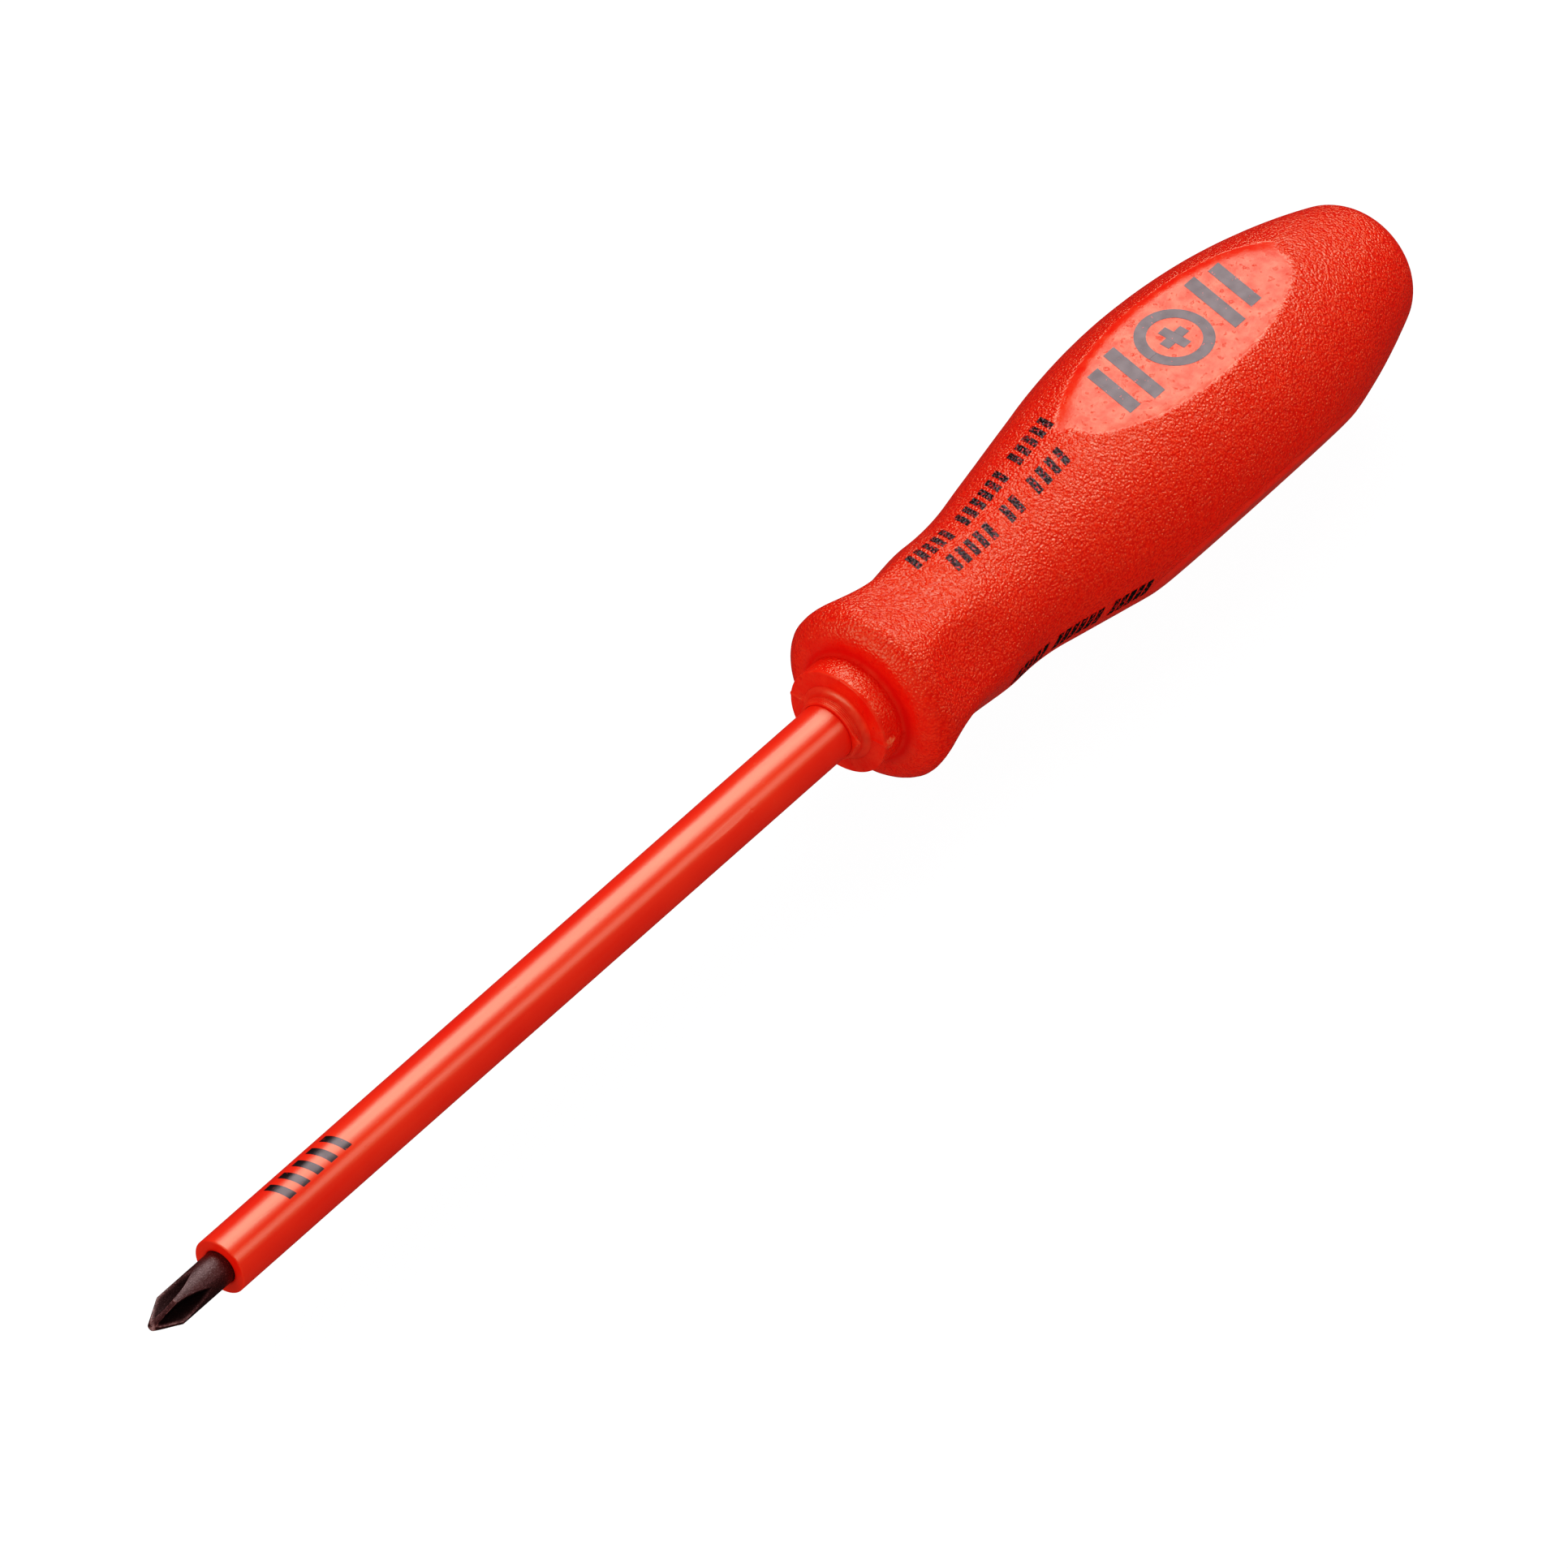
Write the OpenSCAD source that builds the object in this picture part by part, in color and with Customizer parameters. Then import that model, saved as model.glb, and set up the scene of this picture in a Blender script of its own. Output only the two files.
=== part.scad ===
// Small insulated crosshead screwdriver: a steel blade in an insulating tube, gripped by an
// inner handle moulding with a textured outer grip moulded round it.
// X runs from the handle to the blade's tip, Z points straight out of the top grip panel, and
// the origin is on the blade's axis, in the plane of the collar's front face.
// All sizes are in millimetres and all angles in degrees.

/* [Blade] */
// Diameter of the steel blade
blade_d = 2.6; // [2:0.1:3]
// Distance from the collar's face to the blade's tip
tip_x = 75.7; // [71:0.1:150]
// Length of the pointed end, from the shoulder of the cone to the tip
point_len = 2.1; // [1.7:0.1:2.6]
// Diameter of the blunt end of the point
point_flat_d = 0.56; // [0.4:0.02:0.8]
// Angle from straight up to the first of the four wings of the point
wing_turn = -20; // [-45:1:45]
// Distance behind the tip of the deepest place of the four flutes
flute_back = 1.5; // [0.5:0.1:2.5]
// Distance from the axis to the root of a flute at its deepest place
flute_root_r = 0.25; // [0.15:0.01:0.4]
// Radius of the disc that cuts the flutes, which sets how they run out
flute_disc_r = 6.8; // [4:0.1:10]
// Full angle between the two sides of a flute
flute_angle = 92; // [80:1:110]
// How far the blade reaches into the handle, behind the collar's face
tang_depth = 47; // [40:0.5:50]
// Width across the two wings pressed out of the tang
tang_wing_w = 4; // [3.2:0.1:4.4]
// Thickness of the tang where it is pressed flat
tang_wing_t = 1.6; // [1.2:0.1:1.9]
// Length of the pressed stretch of the tang
tang_wing_len = 6; // [4:0.5:10]

/* [Sleeve] */
// Outside diameter of the insulating sleeve
sleeve_d = 4.4; // [4.2:0.1:4.6]
// Length of blade left bare in front of the sleeve
bare_len = 7.4; // [6:0.1:18]
// How far the sleeve reaches into the handle, behind the collar's face
sleeve_depth = 20; // [10:0.5:30]
// Diameter of the sleeve inside the handle, where it is drawn down to key into the core
sleeve_root_d = 3.8; // [3.6:0.1:4]
// Bevel round the outside of the sleeve's cut end
sleeve_bevel = 0.08; // [0.02:0.01:0.2]
// Bevel round the mouth of the sleeve's bore
mouth_bevel = 0.12; // [0.02:0.01:0.3]

/* [Core] */
// How far the core's nose stands out in front of the collar
nose_len = 1.15; // [0.6:0.05:2]
// Diameter of the nose at its front lip
nose_lip_d = 4.84; // [4.8:0.02:5]
// Diameter of the nose where it meets the collar's face
nose_root_d = 6.1; // [6:0.1:6.8]
// Radius of the hollow round between the nose and the collar's face
nose_fillet = 0.55; // [0.3:0.05:0.55]
// Diameter of the core behind the collar
core_d = 7.2; // [7:0.1:8]
// Length of the core behind the collar's face
core_depth = 52; // [50.5:0.5:54]
// Number of ribs that key the core into the grip
rib_count = 6; // [3:1:8]
// Diameter over the ribs
rib_over_d = 9.2; // [8.2:0.1:9.6]
// Width of one rib
rib_w = 1.4; // [1:0.1:2]
// Where the ribs start, behind the collar's face
rib_start = 14; // [12:0.5:18]
// Length of the ribs
rib_len = 30; // [20:1:32]

/* [Grip] */
// Diameter of the collar
collar_d = 8.52; // [8:0.02:8.7]
// Length of the collar in front of the guard
collar_len = 2.35; // [1.6:0.05:2.5]
// Bevel round the collar's front edge
collar_bevel = 0.1; // [0.05:0.01:0.2]
// Radius of the hollow round between the collar and the guard
collar_fillet = 0.45; // [0.2:0.05:0.5]
// Diameter of the guard at its crest
guard_d = 14.5; // [14.2:0.1:15.2]
// Radius of the round at the front of the guard, from its face to its crest
guard_front_r = 2.1; // [1.2:0.1:2.2]
// Radius of the round at the back of the guard
guard_back_r = 3; // [1.5:0.1:4]
// Diameter of the neck where it is thinnest
neck_d = 12.42; // [12.2:0.02:12.8]
// Distance of the thinnest place behind the collar's face
neck_back = 15.4; // [15:0.1:15.8]
// Radius of the hollow sweep through the neck
neck_sweep = 24; // [18:1:25]
// Diameter of the body where it is fattest
body_d = 18.5; // [17.6:0.1:18.6]
// Distance of the fattest place behind the collar's face
body_back = 39.3; // [38.9:0.1:41]
// Radius of the sweep in front of the fattest place
body_front_sweep = 54; // [50:1:56]
// Radius of the sweep behind the fattest place
body_rear_sweep = 58; // [54:1:62]
// Distance from the fattest place to the start of the end dome
dome_start = 20.3; // [19:0.1:21.5]
// Radius of the end dome's round
dome_r = 4.3; // [3.4:0.1:5]

/* [Finger dishes] */
// Number of shallow dishes round the neck, next to the guard
dish_count = 6; // [4:1:6]
// Distance of the deepest place of the dishes behind the collar's face
dish_back = 9.3; // [8.5:0.1:10]
// Distance from the axis to the floor of a dish
dish_floor_r = 5.93; // [5.8:0.01:6.2]
// Radius of the dish's hollow, along the handle
dish_sweep = 10.6; // [8:0.1:14]

/* [Flat panels] */
// Number of flat oval panels round the body
panel_count = 3; // [1:1:4]
// Distance from the axis to a panel
panel_r = 8.12; // [7.8:0.01:8.6]

/* [Hidden] */

// Facets per circle of a preview, which the exact shapes do not depend on.
fine = 96;
// How far a cutter reaches past the surface that it opens.
past = 1;

blade_r = blade_d / 2;
sleeve_r = sleeve_d / 2;
sleeve_root_r = sleeve_root_d / 2;
shoulder_x = tip_x - point_len;
sleeve_end_x = tip_x - bare_len;
core_r = core_d / 2;
core_neck_r = nose_root_d / 2;
collar_r = collar_d / 2;
guard_r = guard_d / 2;
guard_back = collar_len + guard_front_r;
neck_r = neck_d / 2;
body_r = body_d / 2;

steel = [0.16, 0.11, 0.1];
sleeve_red = [0.93, 0.24, 0.16];
core_red = [0.8, 0.13, 0.07];
grip_red = [0.88, 0.2, 0.1];

// Turns a shape drawn about the Z axis so that it lies along X, with its own X side up.
module along_blade() {
    rotate([0, 90, 0])
        rotate([0, 0, 180])
            children();
}

// A turned solid along the blade's axis. Each point of the outline is [radius, x].
module turned(outline) {
    along_blade()
        rotate_extrude($fn = fine)
            polygon(outline);
}

// Points on an arc about [r, x], from angle a to angle b in n steps.
// Angle 0 points away from the axis, and 90 towards the tip.
function arc(r, x, radius, a, b, n) = [
    for (i = [0:n])
        let (t = a + (b - a) * i / n)
            [r + radius * cos(t), x + radius * sin(t)]
];

// Slope angle of the line that touches both a round of radius ra and the opposite round of
// radius rb, whose centre lies dx further along and dr further out.
function tangent_slope(dx, dr, ra, rb) = atan2(dr, dx) + asin((ra + rb) / norm([dx, dr]));

// ---- blade ------------------------------------------------------------------------------

module blade_bar() {
    end_bevel = 0.4;
    turned([
        [0, -tang_depth],
        [blade_r - end_bevel, -tang_depth],
        [blade_r, end_bevel - tang_depth],
        [blade_r, shoulder_x],
        [point_flat_d / 2, tip_x],
        [0, tip_x],
    ]);
}

// One flute of the crosshead point, left by a disc with a V-shaped rim.
module flute() {
    depth = blade_r + past;
    half_w = depth * tan(flute_angle / 2);
    translate([flute_root_r + flute_disc_r, 0, tip_x - flute_back])
        rotate([90, 0, 0])
            rotate_extrude($fn = fine)
                polygon([
                    [flute_disc_r, 0],
                    [flute_disc_r - depth, half_w],
                    [flute_disc_r - depth, -half_w],
                ]);
}

module tang_flats() {
    for (side = [-1, 1])
        translate([-tang_depth + past, 0, side * (tang_wing_t / 2 + blade_r)])
            translate([tang_wing_len / 2, 0, 0])
                cube([tang_wing_len, tang_wing_w, 2 * blade_r], center = true);
}

module tang_wings() {
    translate([-tang_depth + past + tang_wing_len / 2, 0, 0])
        cube([tang_wing_len, tang_wing_w, tang_wing_t], center = true);
}

module blade_solid() {
    difference() {
        blade_bar();
        tang_flats();
        along_blade()
            for (quarter = [0:3])
                rotate([0, 0, wing_turn + 45 + 90 * quarter])
                    flute();
    }
    tang_wings();
}

module blade() {
    color(steel)
        blade_solid();
}

// ---- sleeve -----------------------------------------------------------------------------

module blade_sleeve() {
    color(sleeve_red)
        turned([
            [blade_r, -sleeve_depth],
            [sleeve_root_r, -sleeve_depth],
            [sleeve_root_r, nose_len],
            [sleeve_r, nose_len],
            [sleeve_r, sleeve_end_x - sleeve_bevel],
            [sleeve_r - sleeve_bevel, sleeve_end_x],
            [blade_r + mouth_bevel, sleeve_end_x],
            [blade_r, sleeve_end_x - mouth_bevel],
        ]);
}

// ---- core -------------------------------------------------------------------------------

// Outside of the core, without its bores: a coned nose, a neck through the collar, and a
// ribbed barrel with a rounded end.
module core_outside() {
    side_lean = 8;
    barrel_start = -3.4;
    end_round = 1.2;
    turned(concat(
        [[0, nose_len], [nose_lip_d / 2, nose_len]],
        arc(core_neck_r, nose_fillet, nose_fillet, 180 - side_lean, 270, 8),
        [
            [core_neck_r, barrel_start],
            [core_r, barrel_start - (core_r - core_neck_r)],
        ],
        arc(core_r - end_round, end_round - core_depth, end_round, 0, -90, 8),
        [[0, -core_depth]]
    ));
    along_blade()
        for (i = [0:rib_count - 1])
            rotate([0, 0, i * 360 / rib_count])
                translate([0, -rib_w / 2, -rib_start - rib_len])
                    cube([rib_over_d / 2, rib_w, rib_len]);
}

module handle_core() {
    color(core_red)
        difference() {
            core_outside();
            turned([
                [0, -sleeve_depth],
                [sleeve_root_r, -sleeve_depth],
                [sleeve_root_r, nose_len + past],
                [0, nose_len + past],
            ]);
            blade_solid();
        }
}

// ---- grip -------------------------------------------------------------------------------

// Outline of the grip as one chain of tangent arcs, from the collar back to the end dome.
// The slopes are those of the straight runs between the guard, the neck and the body.
guard_arc = [guard_r - guard_back_r, -guard_back];
neck_arc = [neck_r + neck_sweep, -neck_back];
body_front_arc = [body_r - body_front_sweep, -body_back];
body_rear_arc = [body_r - body_rear_sweep, -body_back];
guard_fall = tangent_slope(
    neck_back - guard_back, guard_arc[0] - neck_arc[0], guard_back_r, neck_sweep);
body_rise = tangent_slope(
    body_back - neck_back, body_front_arc[0] - neck_arc[0], neck_sweep, body_front_sweep);
dome_slope = asin(dome_start / body_rear_sweep);
dome_arc = [
    body_rear_arc[0] + (body_rear_sweep - dome_r) * cos(dome_slope),
    body_rear_arc[1] - (body_rear_sweep - dome_r) * sin(dome_slope),
];
handle_end_x = dome_arc[1] - dome_r;

grip_outline = concat(
    [[0, 0], [collar_r - collar_bevel, 0], [collar_r, -collar_bevel]],
    arc(collar_r + collar_fillet, collar_fillet - collar_len, collar_fillet, 180, 270, 6),
    arc(guard_r - guard_front_r, -guard_back, guard_front_r, 90, 0, 14),
    arc(guard_arc[0], guard_arc[1], guard_back_r, 0, -guard_fall, 3),
    arc(neck_arc[0], neck_arc[1], neck_sweep, 180 - guard_fall, 180 + body_rise, 14),
    arc(body_front_arc[0], body_front_arc[1], body_front_sweep, body_rise, 0, 8),
    arc(body_rear_arc[0], body_rear_arc[1], body_rear_sweep, 0, -dome_slope, 14),
    arc(dome_arc[0], dome_arc[1], dome_r, -dome_slope, -90, 12),
    [[0, handle_end_x]]
);

// Cutter of one finger dish: a drum lying across the handle, just outside the dish's floor.
module dish() {
    translate([dish_floor_r + dish_sweep, 0, -dish_back])
        rotate([90, 0, 0])
            cylinder(r = dish_sweep, h = guard_d, center = true, $fn = fine);
}

// Cutter of one flat panel: everything outside the panel's plane, over the whole of the body.
module panel() {
    translate([panel_r, -body_r, -body_back - body_d])
        cube([body_r, body_d, 2 * body_d]);
}

module handle_grip() {
    color(grip_red)
        difference() {
            turned(grip_outline);
            core_outside();
            along_blade() {
                for (i = [0:dish_count - 1])
                    rotate([0, 0, i * 360 / dish_count])
                        dish();
                for (i = [0:panel_count - 1])
                    rotate([0, 0, i * 360 / panel_count])
                        panel();
            }
        }
}

blade();
blade_sleeve();
handle_core();
handle_grip();
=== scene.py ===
# Looks of a small insulated crosshead screwdriver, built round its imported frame.
# Shapes are worked out in millimetres on the frame's own axes: X runs along the blade towards
# its tip, and a turn is an angle about X, from straight up (+Z) towards +Y.
import math

import bpy
import numpy as np
from mathutils import Matrix, Vector, noise


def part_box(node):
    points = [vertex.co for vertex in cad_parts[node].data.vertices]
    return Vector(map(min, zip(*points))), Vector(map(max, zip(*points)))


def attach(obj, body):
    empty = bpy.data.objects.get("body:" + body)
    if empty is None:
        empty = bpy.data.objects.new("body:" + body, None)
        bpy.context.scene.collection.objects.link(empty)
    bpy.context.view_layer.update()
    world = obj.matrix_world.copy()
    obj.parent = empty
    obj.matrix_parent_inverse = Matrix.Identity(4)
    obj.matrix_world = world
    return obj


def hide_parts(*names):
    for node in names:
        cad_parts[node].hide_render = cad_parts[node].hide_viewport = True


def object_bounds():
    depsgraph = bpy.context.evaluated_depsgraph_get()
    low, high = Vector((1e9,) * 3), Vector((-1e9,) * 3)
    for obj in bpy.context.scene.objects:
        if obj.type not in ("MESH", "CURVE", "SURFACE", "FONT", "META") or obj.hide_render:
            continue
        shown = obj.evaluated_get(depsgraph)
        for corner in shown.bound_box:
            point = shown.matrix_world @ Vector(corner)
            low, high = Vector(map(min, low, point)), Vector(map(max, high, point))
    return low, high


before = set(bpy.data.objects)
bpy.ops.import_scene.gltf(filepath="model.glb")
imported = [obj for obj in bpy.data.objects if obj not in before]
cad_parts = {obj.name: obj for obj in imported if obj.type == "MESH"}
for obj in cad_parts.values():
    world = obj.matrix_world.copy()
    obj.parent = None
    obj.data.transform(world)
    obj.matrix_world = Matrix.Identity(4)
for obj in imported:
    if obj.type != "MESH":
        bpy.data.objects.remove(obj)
cad_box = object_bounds()

MM = 0.001
FULL_TURN = 2 * math.pi
OUT_OF_REACH = 99.0


# ---- sizes ------------------------------------------------------------------------------

def corners_mm(node):
    """Lowest and highest corners of a CAD node's box, in millimetres."""
    low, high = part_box(node)
    return [round(v / MM, 2) for v in low], [round(v / MM, 2) for v in high]


blade_low, blade_high = corners_mm("blade")
sleeve_low, sleeve_high = corners_mm("blade_sleeve")
core_low, core_high = corners_mm("handle_core")
grip_high = corners_mm("handle_grip")[1]

tip_x = blade_high[0]
tang_end_x = blade_low[0]
tang_wing_r = blade_high[1]
blade_r = blade_high[2]
sleeve_end_x = sleeve_high[0]
sleeve_back_x = sleeve_low[0]
sleeve_r = sleeve_high[2]
nose_len = core_high[0]
core_end_x = core_low[0]
rib_r = core_high[2]
body_r = grip_high[1]
panel_r = grip_high[2]

# Sizes inside the boxes, the same as in the CAD model.
point_len = 2.1
point_flat_r = 0.28
flute_x = tip_x - 1.5
flute_root_r = 0.25
flute_disc_r = 6.8
flute_half_angle = math.radians(46)
first_wing = math.radians(20)
tang_wing_t = 1.6
tang_wing_front = tang_end_x + 7
tang_wing_back = tang_end_x + 1
axis_hole_r = 0.2
sleeve_root_r = 1.9
sleeve_step_x = nose_len - 0.14
sleeve_bevel = 0.08
mouth_bevel = 0.12
nose_lip_r = 2.42
nose_root_r = 3.05
nose_fillet = 0.55
nose_lean = math.radians(8)
core_r = 3.6
core_shoulder_x = -3.4
core_end_round = 1.2
rib_count = 6
rib_w = 1.4
rib_front_x = -14
rib_back_x = -44
collar_r = 4.26
collar_len = 2.35
collar_bevel = 0.1
collar_fillet = 0.45
guard_r = 7.25
guard_x = -4.45
guard_front_r = 2.1
guard_back_r = 3
neck_r = 6.21
neck_x = -15.4
neck_sweep = 24
body_x = -39.3
body_front_sweep = 54
body_rear_sweep = 58
dome_start = 20.3
dome_r = 4.3
dish_count = 6
dish_x = -9.3
dish_floor_r = 5.93
dish_sweep = 10.6
panel_count = 3

# Blends, and marks of moulding, cutting and use, which only this model has.
dish_blend = 0.8
ridge_blend = 1.0
panel_blend = 0.3
parting_turn = math.radians(86)
scrape_turn = math.radians(43)
scrape_x = 14.1
scrape_half_len = 3.1
scrape_depth = 0.016
chatter_x = 11.8
chatter_turn = math.radians(46)

# The skin keeps the grip's surface just inside the CAD model's. The gap keeps two touching pieces
# apart. A step that would be square slopes a little, by about the crisp length.
skin = 0.02
gap = 0.01
crisp = 0.005

# How finely the moulded surfaces are meshed.
outline_step = 0.28
grip_columns = 288


# ---- shape helpers ----------------------------------------------------------------------

def smooth_min(a, b, blend):
    """The smaller of a and b, rounded over a stretch where they are within blend of each other."""
    overlap = np.clip(1 - np.abs(a - b) / blend, 0, 1)
    return np.minimum(a, b) - overlap**2 * blend / 4


def smooth_step(low, high, value):
    """From 0 where value is low to 1 where it is high."""
    t = np.clip((value - low) / (high - low), 0, 1)
    return t * t * (3 - 2 * t)


def hump(value, centre, width):
    """1 at the centre, falling to about a third at width from it."""
    return np.exp(-(((value - centre) / width) ** 2))


def turn_between(turn, centre):
    """Signed angle from centre to turn."""
    return (turn - centre + math.pi) % FULL_TURN - math.pi


def turn_to_nearest(turn, count):
    """Signed angle from turn to the nearest of count equally spaced places, one straight up."""
    pitch = FULL_TURN / count
    return (turn + pitch / 2) % pitch - pitch / 2


def line(start, end, step):
    """Points [r, x] on a straight line."""
    count = max(1, round(math.dist(start, end) / step))
    t = np.linspace(0, 1, count + 1)[:, None]
    return np.array(start) * (1 - t) + np.array(end) * t


def arc(centre, radius, first, last, step, fewest=6):
    """Points [r, x] on an arc. Angle 0 points away from the axis, and a right angle to the tip."""
    count = max(fewest, round(abs(last - first) * radius / step))
    t = np.linspace(first, last, count + 1)
    return np.stack([centre[0] + radius * np.cos(t), centre[1] + radius * np.sin(t)], axis=-1)


def chain(*stretches):
    """One outline from stretches that end where the next one starts."""
    points = np.concatenate([np.asarray(s, float).reshape(-1, 2) for s in stretches])
    moved = np.linalg.norm(np.diff(points, axis=0), axis=1) > 1e-4
    return points[np.concatenate([[True], moved])]


def tangent_slope(dx, dr, ra, rb):
    """Slope of the line that touches two opposite rounds, whose centres are dx and dr apart."""
    return math.atan2(dr, dx) + math.asin((ra + rb) / math.hypot(dx, dr))


def noise_at(points, pitch, seed):
    """Smooth noise from about -1 to 1 at each point, with features about pitch apart."""
    flat = points.reshape(-1, 3) / pitch + seed
    values = [noise.noise(Vector(p)) for p in flat.tolist()]
    return np.array(values).reshape(points.shape[:-1])


def wrapped(r, x, turn):
    """Points at a radius, a place along the axis and a turn about it."""
    return np.stack([x, r * np.sin(turn), r * np.cos(turn)], axis=-1)


def outline_grid(outline, turns):
    """Radius, x and turn of a turned surface, with a row for each outline point [r, x]."""
    r, turn = np.meshgrid(outline[:, 0], turns, indexing="ij")
    x = np.repeat(outline[:, 1:], len(turns), axis=1)
    return r, x, turn


def around(outline, turns, radius):
    """Rings of points round an outline, whose radii a function then changes."""
    r, x, turn = outline_grid(outline, turns)
    return wrapped(radius(r, x, turn), x, turn)


def even_turns(count):
    return np.arange(count) * FULL_TURN / count


# ---- mesh building ----------------------------------------------------------------------

def make_piece(name, points, faces, sharp_angle, marks=None):
    """A smooth-shaded piece from points in millimetres, with its faces turned outwards.

    Marks are values at the points, by name, which the materials read.
    """
    mesh = bpy.data.meshes.new(name)
    mesh.from_pydata((points * MM).tolist(), [], faces)
    mesh.update()
    for mark, values in (marks or {}).items():
        layer = mesh.attributes.new(mark, "FLOAT", "POINT")
        layer.data.foreach_set("value", values.astype(np.float32))
    if signed_volume(mesh) < 0:
        mesh.flip_normals()
    mesh.polygons.foreach_set("use_smooth", [True] * len(mesh.polygons))
    mesh.set_sharp_from_angle(angle=math.radians(sharp_angle))
    piece = bpy.data.objects.new(name, mesh)
    bpy.context.scene.collection.objects.link(piece)
    return piece


def signed_volume(mesh):
    """A measure of the closed mesh's volume, below 0 where its faces are turned inwards."""
    mesh.calc_loop_triangles()
    corners = np.zeros(len(mesh.loop_triangles) * 3, np.int32)
    mesh.loop_triangles.foreach_get("vertices", corners)
    places = np.zeros(len(mesh.vertices) * 3, np.float32)
    mesh.vertices.foreach_get("co", places)
    a, b, c = places.reshape(-1, 3)[corners.reshape(-1, 3)].astype(float).transpose(1, 0, 2)
    return float(np.einsum("ij,ij->i", a, np.cross(b, c)).sum())


def ring_piece(name, rings, sharp_angle, closed_ends=True, marks=None):
    """A closed piece from rings of points. Its ends close on the axis, or else meet each other."""
    rows, columns = rings.shape[:2]
    index = np.arange(rows * columns).reshape(rows, columns)
    if not closed_ends:
        index = np.concatenate([index, index[:1]])
    beside = np.roll(index, -1, axis=1)
    quads = np.stack([index[:-1], index[1:], beside[1:], beside[:-1]], axis=-1)
    faces = quads.reshape(-1, 4).tolist()
    points = rings.reshape(-1, 3)
    values = {mark: v.reshape(-1) for mark, v in (marks or {}).items()}
    if closed_ends:
        first, last = len(points), len(points) + 1
        ends = np.stack([rings[0].mean(axis=0), rings[-1].mean(axis=0)])
        points = np.concatenate([points, ends])
        faces += [[first, a, b] for a, b in zip(index[0].tolist(), beside[0].tolist())]
        faces += [[last, b, a] for a, b in zip(index[-1].tolist(), beside[-1].tolist())]
        for mark, v in (marks or {}).items():
            values[mark] = np.concatenate([values[mark], [v[0].mean(), v[-1].mean()]])
    return make_piece(name, points, faces, sharp_angle, values)


def slab_faces(rows, columns, start):
    """Faces of one thin closed slab, whose top points come first and then its bottom points."""
    top = start + np.arange(rows * columns).reshape(rows, columns)
    bottom = top + rows * columns

    def patch(grid):
        return np.stack([grid[:-1, :-1], grid[1:, :-1], grid[1:, 1:], grid[:-1, 1:]], axis=-1)

    rim = np.concatenate([top[0, :], top[1:, -1], top[-1, -2::-1], top[-2:0:-1, 0]])
    rim_below = rim + rows * columns
    after, after_below = np.roll(rim, -1), np.roll(rim_below, -1)
    walls = np.stack([rim, after, after_below, rim_below], axis=-1)
    turned_over = patch(bottom).reshape(-1, 4)[:, ::-1]
    return patch(top).reshape(-1, 4).tolist() + turned_over.tolist() + walls.tolist()


# ---- grip -------------------------------------------------------------------------------

def grip_outline():
    """Outline of the grip from the collar's face back to the end dome, as tangent arcs."""
    s = outline_step
    guard = (guard_r - guard_back_r, guard_x)
    neck = (neck_r + neck_sweep, neck_x)
    front = (body_r - body_front_sweep, body_x)
    rear = (body_r - body_rear_sweep, body_x)
    fall = tangent_slope(guard_x - neck_x, guard[0] - neck[0], guard_back_r, neck_sweep)
    rise = tangent_slope(neck_x - body_x, front[0] - neck[0], neck_sweep, body_front_sweep)
    dome_slope = math.asin(dome_start / body_rear_sweep)
    reach = body_rear_sweep - dome_r
    dome = (rear[0] + reach * math.cos(dome_slope), rear[1] - reach * math.sin(dome_slope))
    neck_run = arc(neck, neck_sweep, math.pi - fall, math.pi + rise, s)
    front_run = arc(front, body_front_sweep, rise, 0, s)
    guard_run = arc(guard, guard_back_r, 0, -fall, s)
    bevel_centre = (collar_r - collar_bevel, -collar_bevel)
    fillet_centre = (collar_r + collar_fillet, collar_fillet - collar_len)
    quarter = math.pi / 2
    return chain(
        line((nose_root_r, 0), (collar_r - collar_bevel, 0), s / 2),
        arc(bevel_centre, collar_bevel, quarter, 0, s / 4, 3),
        line((collar_r, -collar_bevel), (collar_r, fillet_centre[1]), s / 2),
        arc(fillet_centre, collar_fillet, math.pi, 3 * quarter, s / 2),
        line((fillet_centre[0], -collar_len), (guard_r - guard_front_r, -collar_len), s / 2),
        arc((guard_r - guard_front_r, guard_x), guard_front_r, quarter, 0, s),
        guard_run,
        line(guard_run[-1], neck_run[0], s),
        neck_run,
        line(neck_run[-1], front_run[0], s),
        front_run,
        arc(rear, body_rear_sweep, 0, -dome_slope, s),
        arc(dome, dome_r, -dome_slope, -quarter, s),
        line((dome[0], dome[1] - dome_r), (s, dome[1] - dome_r), s),
    )


def dish_limit(x, turn):
    """Distance from the axis to the floor of the nearest finger dish, with soft ridges between."""
    along = np.clip(np.abs(x - dish_x), 0, dish_sweep)
    floor = dish_floor_r + dish_sweep - np.sqrt(dish_sweep**2 - along**2)
    lean = np.abs(turn_to_nearest(turn, dish_count))
    here = floor / np.cos(lean)
    beside = floor / np.cos(FULL_TURN / dish_count - lean)
    return smooth_min(here, beside, ridge_blend)


def panel_limit(turn):
    """Distance from the axis to the plane of the nearest flat panel."""
    return panel_r / np.cos(turn_to_nearest(turn, panel_count))


def dished_radius(r, x, turn):
    """Radius of the surface with its finger dishes, before the panels are cut."""
    return smooth_min(r, dish_limit(x, turn), dish_blend)


def moulded_waves(r, x, turn):
    """Small unevenness of the moulded surface, as a depth below the true one."""
    points = wrapped(r, x, turn)
    broad_depth, fine_depth = 0.016, 0.004
    broad = noise_at(points, pitch=3.1, seed=7.3)
    fine = noise_at(points, pitch=0.8, seed=2.9)
    return broad_depth * (1 + broad) + fine_depth * (1 + fine)


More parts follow.
